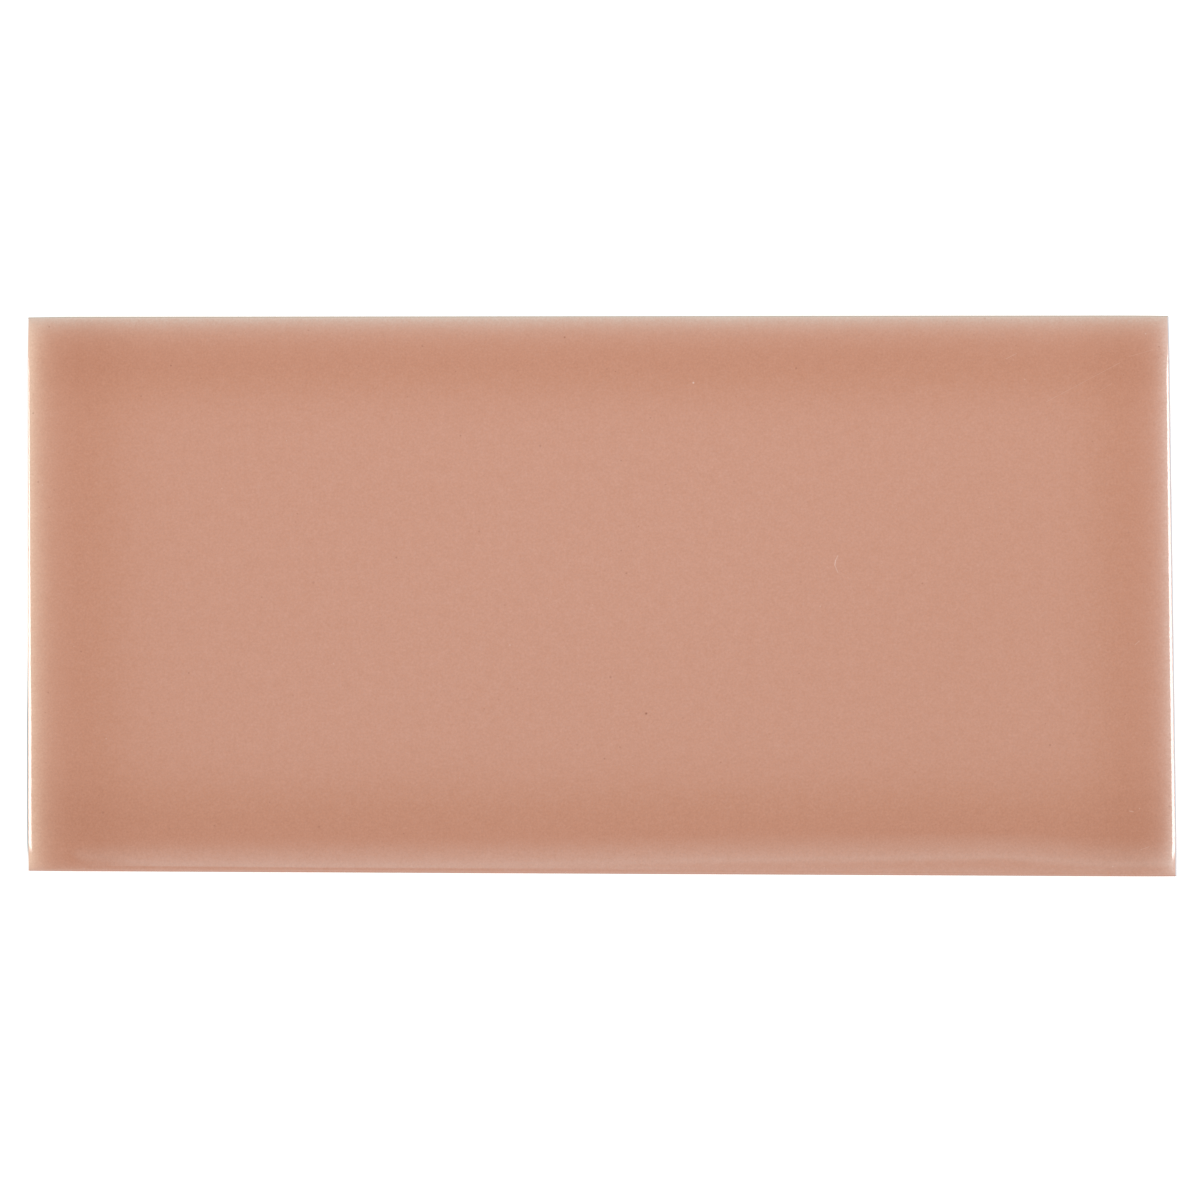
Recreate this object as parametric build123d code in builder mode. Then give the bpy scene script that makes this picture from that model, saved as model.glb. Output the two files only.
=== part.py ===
from build123d import *

import os
from math import asin, degrees

# Glazed ceramic field tile: a dust-pressed wall tile with cushion edges and a keyed back.
# The tile lies on its back, glazed face up. X runs along its length, Y across its width, Z is up.
# The origin is the middle of the back, on the plane that the tile rests on. Sizes are in millimetres.

# The pressed block
length = 150.0
width = 73.0
thickness = 8.0  # back to the flat of the face
corner_radius = 0.3  # the four upright corners, which the die leaves nearly sharp

# The cushion edge: the face rolls off towards all four sides
cushion_width = 7.0  # how far in from a side the roll-off begins
cushion_drop = 0.45  # how far the face has fallen where it would meet a side
arris_radius = 0.75  # the glazed arris between face and side

# The keyed back: closed grooves along the length, which the adhesive fills
groove_width = 5.0  # at the back's surface
groove_pitch = 8.5
groove_depth = 0.8
groove_draft = 20.0  # degrees that a groove's walls lean, so that the punch releases
groove_margin = 8.0  # least plain border between a groove and a side
back_bevel = 0.6  # bevel round the back's rim

# Sizes that follow from those above
cushion_radius = (cushion_width**2 + cushion_drop**2) / (2 * cushion_drop)
cutter_overrun = cushion_width / 2  # the cushion's cutter runs this far past each side
cutter_height = thickness / 2  # and stands this far above the face
cushion_turn = degrees(asin((cushion_width + cutter_overrun) / cushion_radius))
groove_length = length - 2 * groove_margin
groove_count = int((width - 2 * groove_margin - groove_width) / groove_pitch) + 1


def cushion_line(span, height):
    """Draw a flat run with a tangent arc that falls away at each end, and return its two ends."""
    flat_end = span / 2 - cushion_width
    Line((-flat_end, height), (flat_end, height))
    left = JernArc((-flat_end, height), (-1, 0), cushion_radius, cushion_turn)
    right = JernArc((flat_end, height), (1, 0), cushion_radius, -cushion_turn)
    return left @ 1, right @ 1


with BuildPart() as field_tile:
    # Block as the die presses it, with a bevel round its back
    with BuildSketch():
        Rectangle(length, width)
    extrude(amount=thickness)
    chamfer(field_tile.faces().sort_by(Axis.Z)[0].edges(), back_bevel)

    # Cushion face: the cross profile is swept along the length profile, so its corners are spherical
    with BuildLine(Plane.XZ) as length_profile:
        cushion_line(length, thickness)
    path = length_profile.wire()
    with BuildSketch(Plane(path @ 0, x_dir=(0, 1, 0), z_dir=path % 0)):
        with BuildLine():
            left_end, right_end = cushion_line(width, 0)
            top_left = (left_end.X, cutter_height)
            top_right = (right_end.X, cutter_height)
            Polyline(left_end, top_left, top_right, right_end)
        make_face()
    sweep(path=path, mode=Mode.SUBTRACT)

    # Arris all round the face
    sides = field_tile.faces().filter_by(GeomType.PLANE).filter_by(Axis.Z, reverse=True)
    rims = sides.edges().filter_by(Axis.Z, reverse=True)
    fillet(rims.filter_by_position(Axis.Z, thickness / 2, thickness), arris_radius)

    # Upright corners: what lies outside the die's rounded outline goes
    with BuildSketch():
        RectangleRounded(length, width, corner_radius)
    extrude(amount=thickness, mode=Mode.INTERSECT)

    # Keying grooves of the back
    with BuildSketch():
        with GridLocations(0, groove_pitch, 1, groove_count):
            SlotOverall(groove_length, groove_width)
    extrude(amount=groove_depth, taper=groove_draft, mode=Mode.SUBTRACT)

os.makedirs("parts", exist_ok=True)
field_tile.part.label = "field_tile"
export_step(field_tile.part, "parts/field_tile.step")
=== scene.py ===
from math import e, pi, radians, tan
from typing import NamedTuple

import bmesh
import bpy
import numpy as np
from mathutils import Matrix, Vector


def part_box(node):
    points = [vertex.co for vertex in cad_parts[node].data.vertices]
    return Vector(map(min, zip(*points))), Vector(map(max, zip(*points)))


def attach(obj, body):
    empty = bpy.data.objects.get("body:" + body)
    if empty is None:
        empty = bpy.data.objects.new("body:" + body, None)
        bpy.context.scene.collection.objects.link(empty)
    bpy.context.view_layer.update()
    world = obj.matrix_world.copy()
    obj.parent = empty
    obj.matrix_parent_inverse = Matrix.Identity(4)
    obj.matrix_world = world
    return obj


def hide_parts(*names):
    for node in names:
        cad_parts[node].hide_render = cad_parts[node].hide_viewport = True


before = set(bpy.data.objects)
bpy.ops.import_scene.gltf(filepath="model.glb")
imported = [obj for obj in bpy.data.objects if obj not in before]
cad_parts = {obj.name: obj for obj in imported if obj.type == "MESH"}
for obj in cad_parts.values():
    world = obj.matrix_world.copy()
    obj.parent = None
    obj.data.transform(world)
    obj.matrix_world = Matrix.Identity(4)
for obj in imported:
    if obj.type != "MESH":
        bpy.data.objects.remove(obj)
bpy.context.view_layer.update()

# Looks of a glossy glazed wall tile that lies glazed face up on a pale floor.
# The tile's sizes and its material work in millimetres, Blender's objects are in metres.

MM = 0.001

# Overall sizes, from the frame
tile_low, tile_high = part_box("field_tile")
HALF_LENGTH = (tile_high[0] - tile_low[0]) / 2 / MM
HALF_WIDTH = (tile_high[1] - tile_low[1]) / 2 / MM
THICKNESS = (tile_high[2] - tile_low[2]) / MM

# Edge and back, as in the part's source
CUSHION_WIDTH = 7.0
CUSHION_DROP = 0.45
ARRIS_RADIUS = 0.75
BACK_BEVEL = 0.6
GROOVE_WIDTH = 5.0
GROOVE_PITCH = 8.5
GROOVE_DEPTH = 0.8
GROOVE_DRAFT = 20.0  # degrees
GROOVE_MARGIN = 8.0
CORNER_POWER = 8.0  # squareness of the upright corners: 2 is round, more is sharper
CUSHION_RADIUS = (CUSHION_WIDTH**2 + CUSHION_DROP**2) / (2 * CUSHION_DROP)

# Kiln skew: the short sides lean a little, and the outline shrinks to stay in the frame's box
LEAN = 0.0104
FIT = 1 - LEAN * HALF_WIDTH / HALF_LENGTH

# Mesh spacing
FACE_STEP = 0.75
CUSHION_STEP = 0.4
ARRIS_STEPS = 10
WALL_STEP = 0.5
GROOVE_END_STEPS = 16

# Glaze surface: shallow waves left by the melt
WAVE_SEED = 7
WAVE_COUNT = 28
WAVE_LENGTHS = (9.0, 40.0)
WAVE_DEPTH = 0.012

# Floor: open under the tile, so that its back can be looked at from below
FLOOR_REACH = 4.0  # metres from the middle
FLOOR_LAP = 2.5  # how far it runs in under the tile
FLOOR_GAP = 0.01  # how far it lies below the back

# Strip lights beside the short sides
STRIP_SIZE = (10.5, 90.0)
STRIP_MIDDLE = 5.75  # how far out from the side
STRIP_HEIGHT = 10.0
STRIP_RADIANCE = 12

# Panel in front of the tile, high up
PANEL_PLACE = (0, -380, 300)
PANEL_SIZE = (700, 640)
PANEL_COLOUR = (0.55, 0.95, 1.0)

# Even light
SKY_STRENGTH = 1.08
FLOOR_WHITE = 0.93
FLOOR_GLOW = 0.3

# Camera: above the tile, with the small tilt of a hand-set copy stand
CAMERA_DISTANCE = 400.0
CAMERA_TILT = (-2.096, -1.919, -0.107)  # degrees about X, Y and Z
CAMERA_OFFSET = (-0.226, 0.523)
LENS = 90.62


class GlazeEdge(NamedTuple):
    """How the glaze lies along one side of the face, and the painted highlight or shade on its arris.
    Distances are from the side.
    """

    thin: tuple  # colour where the glaze is thinnest
    bare: float  # how far in the glaze stays thinnest
    fill: float  # length over which it then gains its depth
    line: tuple  # painted light on the arris: a fine line of painted highlight or painted shade
    line_width: float
    pool_at: float  # where it lies deepest
    pool_spread: float
    pool_gain: float


# Arris lines: a white painted highlight on the left, a grey painted shade on the right, and dark painted
# shade along the rear and front
LEFT = GlazeEdge((222, 183, 158), 0.6, 1.4, (240, 240, 240), 0.3, 7.3, 4.5, 0.375)
RIGHT = GlazeEdge((216, 181, 166), 0.45, 0.95, (197, 198, 204), 0.3, 6.0, 3.7, 0.35)
REAR = GlazeEdge((204, 182, 167), 0.15, 1.17, (160, 146, 126), 0.24, 6.0, 3.65, 0.51)
FRONT = GlazeEdge((192, 148, 130), 0.0, 0.5, (160, 100, 72), 0.18, 6.0, 4.4, 0.53)
PAINTED_DARK_REFLECTION = (100, 124, 134)  # painted dark reflection low on the left arris, where the line turns dark
SIDE_GLAZE = (203, 160, 141)  # below the arrises

# Colours of the glaze by its depth: 0 in the middle of the face, 1 in the deepest corners
GLAZE_DEPTHS = [
    (-0.5, (202, 152, 133)),
    (0.0, (194, 140, 117)),
    (0.5, (187, 129, 102)),
    (1.0, (178, 118, 89)),
    (1.5, (170, 108, 77)),
]
DARK_SPECK = (140, 84, 60)
PALE_SPECK = (236, 214, 203)
GLAZE_END = 3.2  # mean height at which the glaze ends on the sides
GLAZE_ROUGHNESS = 0.05
GLAZE_IOR = 1.55

# Bare body
BODY_DARK = (196, 176, 150)
BODY_PALE = (238, 224, 204)
PORE = (150, 128, 104)
BODY_ROUGHNESS = 0.86
RELIEF_DEPTH = 0.08

# Single specks that stand out in the glaze: place, radius and how strongly each shows
DARK_SPECKS = [
    ((6.4, -15.6), 0.25, 1.0),
    ((-36.4, -30.5), 0.3, 0.45),
    ((-55.7, 29.9), 0.2, 0.7),
    ((-3.9, 33.6), 0.2, 0.75),
    ((68.4, -15.5), 0.16, 0.4),
    ((70.9, -19.3), 0.16, 0.4),
    ((-72.0, -13.1), 0.17, 0.45),
    ((-72.4, -15.7), 0.15, 0.4),
    ((-71.9, 35.1), 0.2, 0.5),
]
PALE_SPECKS = [
    ((12.9, 27.6), 0.2, 0.6),
    ((71.8, 34.0), 0.14, 0.35),
    ((70.1, -27.7), 0.12, 0.3),
    ((66.6, -35.2), 0.14, 0.25),
]

# Scratches: start, end, half width and how strongly each shows
SCRATCHES = [
    ((31.5, 5.0), (31.2, 4.4), 0.08, 0.35),
    ((31.2, 4.4), (31.1, 3.8), 0.09, 0.5),
    ((31.1, 3.8), (31.5, 2.8), 0.08, 0.3),
    ((58.8, 25.1), (68.4, 30.2), 0.05, 0.15),
    ((65.7, 26.5), (67.3, 27.5), 0.05, 0.12),
    ((53.6, 30.7), (55.0, 31.4), 0.06, 0.18),
    ((69.6, 31.0), (72.7, 31.9), 0.05, 0.12),
    ((69.8, -6.5), (70.4, -6.0), 0.06, 0.25),
    ((68.8, -28.0), (69.3, -28.1), 0.08, 0.25),
    ((70.2, -33.0), (71.3, -32.6), 0.05, 0.18),
]


def linear(red, green, blue):
    """A colour given as 8-bit screen values, as linear light with alpha."""
    shares = [value / 255 for value in (red, green, blue)]
    return [s / 12.92 if s < 0.04045 else ((s + 0.055) / 1.055) ** 2.4 for s in shares] + [1.0]


# Shape


def stations(half):
    """Places from one side to the other, closer together where the face curves."""
    flat_end = half - CUSHION_WIDTH
    arris_start = half - ARRIS_RADIUS
    flat = np.linspace(0, flat_end, round(flat_end / FACE_STEP), endpoint=False)
    cushion_steps = round((arris_start - flat_end) / CUSHION_STEP)
    cushion = np.linspace(flat_end, arris_start, cushion_steps, endpoint=False)
    arris = arris_start + ARRIS_RADIUS * np.sin(np.linspace(0, pi / 2, ARRIS_STEPS + 1))
    side = np.concatenate([flat, cushion, arris])
    return np.concatenate([-side[:0:-1], side])


def glaze_waves(x, y):
    """Depth of the melt's waves below the true face, from zero to about twice WAVE_DEPTH."""
    rng = np.random.default_rng(WAVE_SEED)
    total = np.zeros_like(x)
    for _ in range(WAVE_COUNT):
        wave_length = rng.uniform(*WAVE_LENGTHS)
        heading = rng.uniform(0, 2 * pi)
        phase = rng.uniform(0, 2 * pi)
        along = x * np.cos(heading) + y * np.sin(heading)
        total += wave_length * np.sin(2 * pi * along / wave_length + phase)
    total /= np.abs(total).max()
    return WAVE_DEPTH * (1 + total)


def face_points(x, y):
    """Points of the glazed face over a square grid, bent to the tile's outline and curves."""
    reach_x = HALF_LENGTH - ARRIS_RADIUS
    reach_y = HALF_WIDTH - ARRIS_RADIUS
    out_x = np.maximum(np.abs(x) - reach_x, 0)
    out_y = np.maximum(np.abs(y) - reach_y, 0)
    out = np.maximum(out_x, out_y)  # distance out from the arris's axis
    norm = (out_x**CORNER_POWER + out_y**CORNER_POWER) ** (1 / CORNER_POWER)
    shrink = np.where(norm > 0, out / np.maximum(norm, 1e-12), 1)
    axis_x = np.minimum(np.abs(x), reach_x)
    axis_y = np.minimum(np.abs(y), reach_y)
    x = np.sign(x) * (axis_x + out_x * shrink)
    y = np.sign(y) * (axis_y + out_y * shrink)

    def fall(far_x, far_y, radius):
        """Height of a cushion of the given radius, over places that far from the middle."""
        over_x = np.maximum(far_x - (HALF_LENGTH - CUSHION_WIDTH), 0)
        over_y = np.maximum(far_y - (HALF_WIDTH - CUSHION_WIDTH), 0)
        return THICKNESS - CUSHION_RADIUS + np.sqrt(radius**2 - over_x**2 - over_y**2)

    face = fall(np.abs(x), np.abs(y), CUSHION_RADIUS)
    axis_height = fall(axis_x, axis_y, CUSHION_RADIUS - ARRIS_RADIUS)
    arris = axis_height + np.sqrt(np.maximum(ARRIS_RADIUS**2 - out**2, 0))
    tangent_share = (CUSHION_WIDTH - ARRIS_RADIUS) / (CUSHION_RADIUS - ARRIS_RADIUS)
    z = np.where(out > ARRIS_RADIUS * tangent_share, arris, face)
    return x, y, z - glaze_waves(x, y) * (1 - out / ARRIS_RADIUS)


def slot_outline(half_length, radius, centre_y, z):
    """A closed slot along X with round ends, as points."""
    turn = np.linspace(-pi / 2, pi / 2, GROOVE_END_STEPS + 1)
    straight = half_length - radius
    right = [(straight + radius * np.cos(a), centre_y + radius * np.sin(a), z) for a in turn]
    left = [(-straight - radius * np.cos(a), centre_y - radius * np.sin(a), z) for a in turn]
    return right + left


def loop_of(mesh, points):
    """New vertices at the points, in metres."""
    return [mesh.verts.new(Vector(point) * MM) for point in points]


def band(mesh, lower, upper):
    """A ring of quads between two loops of as many vertices."""
    count = len(lower)
    for i in range(count):
        j = (i + 1) % count
        mesh.faces.new((lower[i], lower[j], upper[j], upper[i]))


def edges_round(mesh, loop):
    """The edges along a closed loop of vertices, made where they are missing."""
    pairs = zip(loop, loop[1:] + loop[:1])
    return [mesh.edges.get(pair) or mesh.edges.new(pair) for pair in pairs]


def add_grooves(mesh):
    """The back's keying grooves. Returns the edges of their mouths."""
    mouths = []
    inset = GROOVE_DEPTH * tan(radians(GROOVE_DRAFT))
    half_length = HALF_LENGTH - GROOVE_MARGIN
    room = 2 * (HALF_WIDTH - GROOVE_MARGIN) - GROOVE_WIDTH
    count = int(room / GROOVE_PITCH) + 1
    for i in range(count):
        centre_y = (i - (count - 1) / 2) * GROOVE_PITCH
        mouth = loop_of(mesh, slot_outline(half_length, GROOVE_WIDTH / 2, centre_y, 0))
        floor_points = slot_outline(half_length - inset, GROOVE_WIDTH / 2 - inset, centre_y, GROOVE_DEPTH)
        floor = loop_of(mesh, floor_points)
        band(mesh, floor, mouth)
        mesh.faces.new(floor[::-1])
        mouths += edges_round(mesh, mouth)
    return mouths


def tile_mesh():
    """The whole tile: glazed face, arris, sides, bevelled back and its grooves."""
    mesh = bmesh.new()
    grid_x, grid_y = np.meshgrid(stations(HALF_LENGTH), stations(HALF_WIDTH))
    x, y, z = face_points(grid_x, grid_y)
    rows, columns = x.shape
    grid = [loop_of(mesh, zip(x[r], y[r], z[r])) for r in range(rows)]
    for r in range(rows - 1):
        for c in range(columns - 1):
            mesh.faces.new((grid[r][c], grid[r][c + 1], grid[r + 1][c + 1], grid[r + 1][c]))

    # Outline of the face, once round from the left front corner
    front = grid[0][:-1]
    right = [row[-1] for row in grid[:-1]]
    rear = grid[-1][:0:-1]
    left = [row[0] for row in grid[:0:-1]]
    rim = front + right + rear + left
    rim_points = [vertex.co / MM for vertex in rim]

    # Sides, down to the bevel and then in to the back
    upper = rim
    wall_rows = round((THICKNESS - BACK_BEVEL) / WALL_STEP)
    for row in range(1, wall_rows + 1):
        share = row / wall_rows
        points = [(p.x, p.y, p.z + share * (BACK_BEVEL - p.z)) for p in rim_points]
        lower = loop_of(mesh, points)
        band(mesh, lower, upper)
        upper = lower
    in_x = 1 - BACK_BEVEL / HALF_LENGTH
    in_y = 1 - BACK_BEVEL / HALF_WIDTH
    foot = loop_of(mesh, [(p.x * in_x, p.y * in_y, 0) for p in rim_points])
    band(mesh, foot, upper)

    # Back, filled between its rim and the grooves
    back_edges = edges_round(mesh, foot) + add_grooves(mesh)
    bmesh.ops.triangle_fill(mesh, use_beauty=True, edges=back_edges, normal=(0, 0, -1))

    # Kiln skew
    for vertex in mesh.verts:
        square_x, square_y, square_z = vertex.co
        vertex.co = (FIT * (square_x - LEAN * square_y), FIT * square_y, square_z)

    sharp = radians(30)
    for face in mesh.faces:
        face.smooth = True
    for edge in mesh.edges:
        edge.smooth = edge.calc_face_angle(0) < sharp
    made = bpy.data.meshes.new("glazed_tile")
    mesh.to_mesh(made)
    mesh.free()
    return made


# Material


class Field:
    """A number that varies over a surface: a shader socket that takes part in arithmetic."""

    def __init__(self, socket):
        self.socket = socket
        self.tree = socket.id_data

    def plug(self, socket):
        self.tree.links.new(self.socket, socket)

    def math(self, operation, *others):
        node = self.tree.nodes.new("ShaderNodeMath")
        node.operation = operation
        self.plug(node.inputs[0])
        for socket, other in zip(node.inputs[1:], others):
            plug(other, socket)
        return Field(node.outputs[0])

    def __add__(self, other):
        return self.math("ADD", other)

    def __sub__(self, other):
        return self.math("SUBTRACT", other)

    def __mul__(self, other):
        return self.math("MULTIPLY", other)

    def __truediv__(self, other):
        return self.math("DIVIDE", other)

    def __rsub__(self, other):
        return self.math("MULTIPLY_ADD", -1.0, other)

    __radd__ = __add__

    def exp(self):
        return self.math("EXPONENT")

    def log(self):
        return self.math("LOGARITHM", e)

    def at_least(self, low):
        return self.math("MAXIMUM", low)

    def at_most(self, high):
        return self.math("MINIMUM", high)

    def within(self, low, high):
        return self.at_least(low).at_most(high)

    def fade(self, start, end):
        """0 at start, 1 at end, smooth between them."""
        node = self.tree.nodes.new("ShaderNodeMapRange")
        node.interpolation_type = "SMOOTHSTEP"
        self.plug(node.inputs["Value"])
        plug(start, node.inputs["From Min"])
        plug(end, node.inputs["From Max"])
        return Field(node.outputs["Result"])


def plug(value, socket):
    """Links a field, or sets a plain value."""
    if isinstance(value, Field):
        value.plug(socket)
    else:
        socket.default_value = value


def noise(place, grain, detail=2.0):
    """Noise about zero, from about -0.5 to 0.5, with grains of the given size."""
    node = place.tree.nodes.new("ShaderNodeTexNoise")
    place.plug(node.inputs["Vector"])
    node.inputs["Scale"].default_value = 1 / grain
    node.inputs["Detail"].default_value = detail
    return Field(node.outputs["Fac"]) - 0.5


def shifted(place, offset):
    """The same place in another part of the pattern."""
    node = place.tree.nodes.new("ShaderNodeVectorMath")
    node.operation = "ADD"
    place.plug(node.inputs[0])
    node.inputs[1].default_value = offset
    return Field(node.outputs[0])


def specks(place, spacing, smallest, largest, share):
    """Round specks, one at most to a cell and most of them small: up to 1 inside and 0 outside."""
    tree = place.tree
    node = tree.nodes.new("ShaderNodeTexVoronoi")
    place.plug(node.inputs["Vector"])
    node.inputs["Scale"].default_value = 1 / spacing
    draw = tree.nodes.new("ShaderNodeSeparateColor")
    tree.links.new(node.outputs["Color"], draw.inputs[0])
    spread, chance, strength = (Field(output) for output in draw.outputs)
    radius = spread * spread * (largest - smallest) + smallest
    distance = Field(node.outputs["Distance"]) * spacing
    inside = 1 - (distance / radius).fade(0.4, 1.0)
    return inside * chance.math("LESS_THAN", share) * (strength * 0.7 + 0.3)


def speck(face, centre, radius):
    """A soft round spot on the face: 1 in its middle and 0 outside it."""
    node = face.tree.nodes.new("ShaderNodeVectorMath")
    node.operation = "DISTANCE"
    face.plug(node.inputs[0])
    node.inputs[1].default_value = (*centre, 0)
    return 1 - Field(node.outputs["Value"]).fade(0.0, radius)


def scratch(along, across, start, end, half_width):
    """A soft stroke on the face from start to end: 1 on its middle line and 0 outside it."""
    run_x = end[0] - start[0]
    run_y = end[1] - start[1]
    off_x = along - start[0]
    off_y = across - start[1]
    share = ((off_x * run_x + off_y * run_y) / (run_x**2 + run_y**2)).within(0.0, 1.0)
    side_x = off_x - share * run_x
    side_y = off_y - share * run_y
    distance = (side_x * side_x + side_y * side_y).math("SQRT")
    return 1 - distance.fade(0.0, half_width)


def mixed(share, first, second):
    """Two colours mixed; each is a field or a plain colour."""
    node = share.tree.nodes.new("ShaderNodeMix")
    node.data_type = "RGBA"
    share.plug(node.inputs["Factor"])
    plug(first, node.inputs[6])
    plug(second, node.inputs[7])
    return Field(node.outputs[2])


def brightened(colour, factor):
    """A colour times a number."""
    node = colour.tree.nodes.new("ShaderNodeVectorMath")
    node.operation = "SCALE"
    colour.plug(node.inputs[0])
    factor.plug(node.inputs["Scale"])
    return Field(node.outputs[0])


def ramp(field, stops):
    """Colours along a field, from stops of a value and a screen colour."""
    node = field.tree.nodes.new("ShaderNodeValToRGB")
    lowest, highest = stops[0][0], stops[-1][0]
    ((field - lowest) / (highest - lowest)).plug(node.inputs[0])
    elements = node.color_ramp.elements
    while len(elements) < len(stops):
        elements.new(1.0)
    for element, (value, colour) in zip(elements, stops):
        element.position = (value - lowest) / (highest - lowest)
        element.color = linear(*colour)
    return Field(node.outputs[0])


def pool(edge, inset):
    """Extra depth of the glaze that gathered along a side."""
    from_middle = (inset - edge.pool_at) / edge.pool_spread
    return (from_middle * from_middle * -0.5).exp() * edge.pool_gain


def thinned(edge, inset, glaze):
    """The glaze's colour where it thins towards a side."""
    thinness = ((inset - edge.bare).at_least(0.0) / -edge.fill).exp()
    return mixed(thinness, glaze, linear(*edge.thin))


def painted_arris_line(inset, width, colour, share, glaze):
    """The glaze's colour with a fine line of painted highlight or shade along a side, on the arris."""
    return mixed((1 - inset.fade(width * 0.6, width)) * share, glaze, linear(*colour))


def glaze_colour(place, along, across, z):
    """Translucent pink glaze: deeper in colour where it pooled, pale where it is thin, with painted
    light: a little brighter towards the rear, and painted highlight and shade lines on the arrises.
    """
    wander = noise(place, 14.0) * 0.4
    insets = [
        (LEFT, along + (HALF_LENGTH + wander)),
        (RIGHT, HALF_LENGTH + wander - along),
        (REAR, HALF_WIDTH - wander - across),
        (FRONT, across + (HALF_WIDTH - wander)),
    ]

    # Depth over the face
    left, right, rear, front = (pool(edge, inset) for edge, inset in insets)
    short_sides = left + right
    long_sides = rear + front
    pools = short_sides + long_sides - short_sides * long_sides * 0.6
    rear_right = along.fade(40.0, 70.0) * across.fade(18.0, 34.0) * 0.13  # a little shallower there
    drift = along * along * 0.000025 - rear_right
    clouds = noise(place, 30.0) * 0.12
    mottle = noise(place, 0.36) * 0.66 + noise(place, 1.6) * 0.32
    depth = pools + drift + clouds + mottle
    glaze = ramp(depth, GLAZE_DEPTHS)
    # Painted light: the glaze is a little brighter towards the rear and darker towards the front, where
    # the light falls off
    glaze = brightened(glaze, 1 + across * 0.0009)

    # Thin and ragged towards the sides, even below them
    ragged = noise(place, 1.6) * 0.3 + noise(place, 0.3) * 0.9
    for edge, inset in insets:
        glaze = thinned(edge, inset + ragged, glaze)
    glaze = mixed(z.fade(THICKNESS - 1.3, THICKNESS - 2.2), glaze, linear(*SIDE_GLAZE))
    flicker = noise(shifted(place, (50.0, 0.0, 0.0)), 0.22) * 0.24
    glaze = brightened(glaze, 1 + flicker)

    # Painted highlight and shade lines on the arrises, which end where the sides begin
    on_arris = z.fade(THICKNESS - 1.4, THICKNESS - 1.2)
    sides = [
        (LEFT, along + HALF_LENGTH),
        (RIGHT, HALF_LENGTH - along),
        (REAR, HALF_WIDTH - across),
        (FRONT, across + HALF_WIDTH),
    ]
    for edge, inset in sides:
        glaze = painted_arris_line(inset, edge.line_width, edge.line, on_arris, glaze)
    # Painted dark reflection low on the left arris
    low_left = across.fade(-6.0, -18.0) * across.fade(-35.0, -33.0)
    glaze = painted_arris_line(along + HALF_LENGTH, LEFT.line_width, PAINTED_DARK_REFLECTION, on_arris * low_left, glaze)

    # Specks and scratches
    faint = specks(place, 2.3, 0.1, 0.22, 0.8) * 0.32
    strong = specks(shifted(place, (19.0, 23.0, 0.0)), 3.0, 0.14, 0.22, 0.6) * 0.5
    dark = faint.at_least(strong)
    pale = specks(shifted(place, (37.0, 11.0, 0.0)), 2.9, 0.07, 0.15, 0.7) * 0.3
    combine = place.tree.nodes.new("ShaderNodeCombineXYZ")
    along.plug(combine.inputs[0])
    across.plug(combine.inputs[1])
    face = Field(combine.outputs[0])
    for centre, radius, strength in DARK_SPECKS:
        dark = dark.at_least(speck(face, centre, radius) * strength)
    for centre, radius, strength in PALE_SPECKS:
        pale = pale.at_least(speck(face, centre, radius) * strength)
    for start, end, half_width, strength in SCRATCHES:
        pale = pale.at_least(scratch(along, across, start, end, half_width) * strength)
    glaze = mixed(dark, glaze, linear(*DARK_SPECK))
    return mixed(pale, glaze, linear(*PALE_SPECK))


def glaze_material():
    """Glaze over a buff body, which is bare low on the sides and on the back."""
    material = bpy.data.materials.new("pink_glaze")
    material.use_nodes = True
    tree = material.node_tree
    shader = tree.nodes["Principled BSDF"]

    # Place on the tile in millimetres, and along and across the face as it was before the skew
    coordinates = tree.nodes.new("ShaderNodeTexCoord")
    scale = tree.nodes.new("ShaderNodeVectorMath")
    scale.operation = "SCALE"
    tree.links.new(coordinates.outputs["Object"], scale.inputs[0])
    scale.inputs["Scale"].default_value = 1 / MM
    place = Field(scale.outputs[0])
    parts = tree.nodes.new("ShaderNodeSeparateXYZ")
    place.plug(parts.inputs[0])
    x, y, z = (Field(output) for output in parts.outputs)
    across = y / FIT
    along = x / FIT + across * LEAN

    # Bare body
    line = GLAZE_END + noise(place, 9.0, 3.0) * 4.0
    covered = (z + noise(place, 0.8) * 0.5 - line).fade(-0.15, 0.15)
    grain = noise(place, 0.25, 4.0) * 0.5 + noise(place, 6.0, 3.0) * 0.5
    body = ramp(grain, [(-0.5, BODY_DARK), (0.5, BODY_PALE)])
    pores = specks(shifted(place, (5.0, 3.0, 0.0)), 0.7, 0.05, 0.14, 0.5)
    body = mixed(pores * 0.5, body, linear(*PORE))
    mixed(covered, body, glaze_colour(place, along, across, z)).plug(shader.inputs["Base Color"])

    gloss = GLAZE_ROUGHNESS + noise(place, 4.0) * 0.02
    rough = BODY_ROUGHNESS + grain * 0.1
    (rough + covered * (gloss - rough)).plug(shader.inputs["Roughness"])
    shader.inputs["IOR"].default_value = GLAZE_IOR

    peel = noise(place, 1.6) * 0.04
    height = covered * (peel + 0.6) + (1 - covered) * (grain * 0.5)
    bump = tree.nodes.new("ShaderNodeBump")
    bump.inputs["Strength"].default_value = 1.0
    bump.inputs["Distance"].default_value = RELIEF_DEPTH * MM
    height.plug(bump.inputs["Height"])
    tree.links.new(bump.outputs["Normal"], shader.inputs["Normal"])
    return material


# Stage


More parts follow.
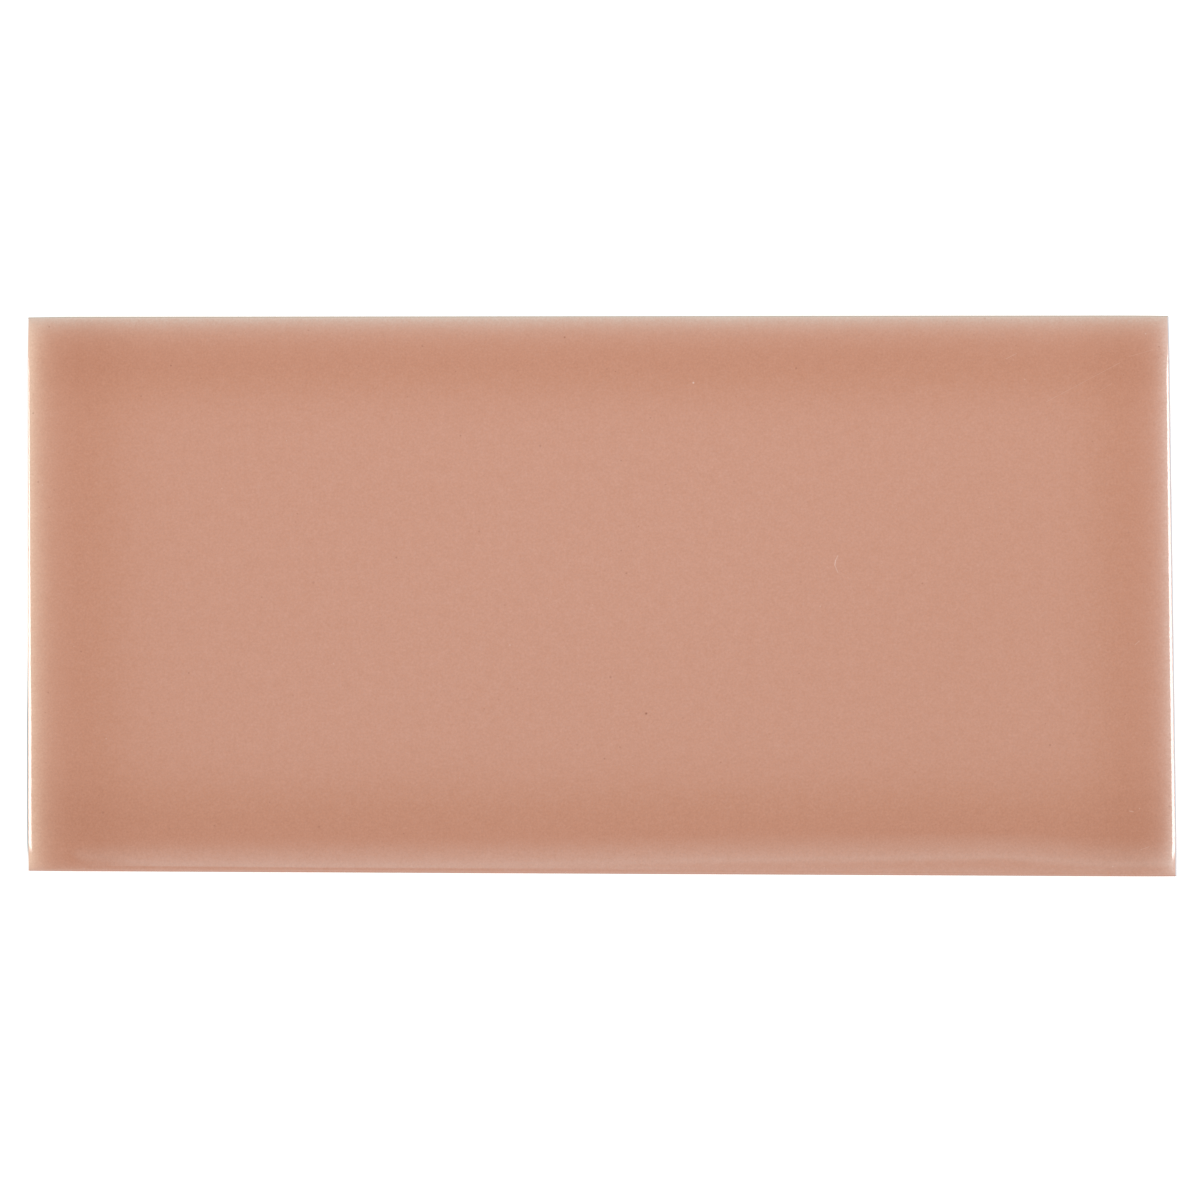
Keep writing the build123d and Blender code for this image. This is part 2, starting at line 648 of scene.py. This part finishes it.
def add_floor():
    """A plain pale floor, lit a little from below like a light table, with an opening under the tile."""
    mesh = bpy.data.meshes.new("floor")
    open_x = (HALF_LENGTH - FLOOR_LAP) * MM
    open_y = (HALF_WIDTH - FLOOR_LAP) * MM
    signs = [(-1, -1), (1, -1), (1, 1), (-1, 1)]
    outer = [(sx * FLOOR_REACH, sy * FLOOR_REACH, -FLOOR_GAP * MM) for sx, sy in signs]
    inner = [(sx * open_x, sy * open_y, -FLOOR_GAP * MM) for sx, sy in signs]
    strips = [(i, (i + 1) % 4, 4 + (i + 1) % 4, 4 + i) for i in range(4)]
    mesh.from_pydata(outer + inner, [], strips)
    material = bpy.data.materials.new("floor_paint")
    material.use_nodes = True
    shader = material.node_tree.nodes["Principled BSDF"]
    shader.inputs["Base Color"].default_value = (FLOOR_WHITE, FLOOR_WHITE, FLOOR_WHITE, 1)
    shader.inputs["Roughness"].default_value = 1.0
    shader.inputs["Specular IOR Level"].default_value = 0.0
    shader.inputs["Emission Color"].default_value = (1, 1, 1, 1)
    shader.inputs["Emission Strength"].default_value = FLOOR_GLOW
    mesh.materials.append(material)
    floor = bpy.data.objects.new("floor", mesh)
    bpy.context.collection.objects.link(floor)


def add_sheen_light(name, place, size, colour, radiance):
    """A rectangular light that faces down and only shows in the gloss.

    Its radiance is a function of the place on it, across and up from its middle, against a white floor's.
    """
    light = bpy.data.lights.new(name, "AREA")
    light.shape = "RECTANGLE"
    light.size, light.size_y = size[0] * MM, size[1] * MM
    light.energy = pi * light.size * light.size_y
    light.color = colour
    light.use_nodes = True
    tree = light.node_tree
    geometry = tree.nodes.new("ShaderNodeNewGeometry")
    parts = tree.nodes.new("ShaderNodeSeparateXYZ")
    tree.links.new(geometry.outputs["Parametric"], parts.inputs[0])
    across = (Field(parts.outputs[0]) - 0.5) * size[0]
    up = (Field(parts.outputs[1]) - 0.5) * size[1]
    radiance(across, up).plug(tree.nodes["Emission"].inputs["Strength"])
    lamp = bpy.data.objects.new(name, light)
    lamp.matrix_world = Matrix.Translation(Vector(place) * MM) @ Matrix.Rotation(LEAN, 4, "Z")
    lamp.visible_camera = False
    lamp.visible_diffuse = False
    bpy.context.collection.objects.link(lamp)


def strip_glow(out, up, curve, slant, front_end):
    """Radiance of a strip light, by the distance out from the tile's side and along it.

    Its rear end follows a logarithmic curve near the tile and a slant further out.
    """
    curve_gain, curve_start = curve
    slant_gain, slant_start = slant
    rear_end = ((out + 0.5).log() * curve_gain + curve_start).at_most(out * slant_gain + slant_start)
    return (rear_end - up).fade(-1.0, 1.0) * (up - front_end).fade(-0.8, 0.8) * STRIP_RADIANCE


def left_glow(across, up):
    """A strip light beside the left side, shorter towards the tile."""
    return strip_glow(STRIP_MIDDLE - across, up, (32, -17.2), (0.72, 26.8), -34.1)


def right_glow(across, up):
    """A strip light beside the right side, with its corner next to the tile cut away behind."""
    return strip_glow(STRIP_MIDDLE + across, up, (43.5, 1.7), (0.58, 29), -34.5)


def front_glow(across, up):
    """A dim panel with a feathered near edge and a brighter band along it."""
    x = across
    y = up + PANEL_PLACE[1]
    near_edge = (x * 0.145 - 109.8).at_least(-116.0)
    right_edge = (-44 - x * 0.63).at_least(-111.0)
    inside = near_edge.at_most(right_edge) - y
    feather = ((-108 - x) * 0.7).at_least(0.0) - 50
    veil = inside.fade(feather, -4.0) * 1.3 - inside.fade(-2.0, 8.0) * 0.65
    off_band = (inside - 1) / 5
    band = (off_band * off_band * -0.5).exp() * 0.6
    left_edge = -234 - y
    return (veil + band) * (x - left_edge).fade(-10.0, 10.0)


def add_lights():
    """Even light from all round, and lights that shine in the cushion edges and arrises."""
    world = bpy.data.worlds.new("studio")
    bpy.context.scene.world = world
    world.use_nodes = True
    background = world.node_tree.nodes["Background"]
    background.inputs["Color"].default_value = (1, 1, 1, 1)
    background.inputs["Strength"].default_value = SKY_STRENGTH
    white = (1, 1, 1)
    beside = FIT * HALF_LENGTH + STRIP_MIDDLE
    add_sheen_light("left_light", (-beside, 0, STRIP_HEIGHT), STRIP_SIZE, white, left_glow)
    add_sheen_light("right_light", (beside, 0, STRIP_HEIGHT), STRIP_SIZE, white, right_glow)
    add_sheen_light("front_light", PANEL_PLACE, PANEL_SIZE, PANEL_COLOUR, front_glow)


def add_camera():
    """The photograph's view."""
    turns = [Matrix.Rotation(radians(angle), 4, axis) for angle, axis in zip(CAMERA_TILT, "XYZ")]
    away = Matrix.Translation(Vector((*CAMERA_OFFSET, -CAMERA_DISTANCE)) * MM)
    camera_data = bpy.data.cameras.new("camera")
    camera_data.lens = LENS
    camera_data.clip_start = 0.01
    camera = bpy.data.objects.new("camera", camera_data)
    camera.matrix_world = (away @ turns[2] @ turns[1] @ turns[0]).inverted()
    bpy.context.collection.objects.link(camera)
    bpy.context.scene.camera = camera


tile = bpy.data.objects.new("field_tile_glazed", tile_mesh())
tile.data.materials.append(glaze_material())
bpy.context.collection.objects.link(tile)
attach(tile, "root")
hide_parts("field_tile")

add_floor()
add_lights()
add_camera()
bpy.context.scene.view_settings.view_transform = "Standard"
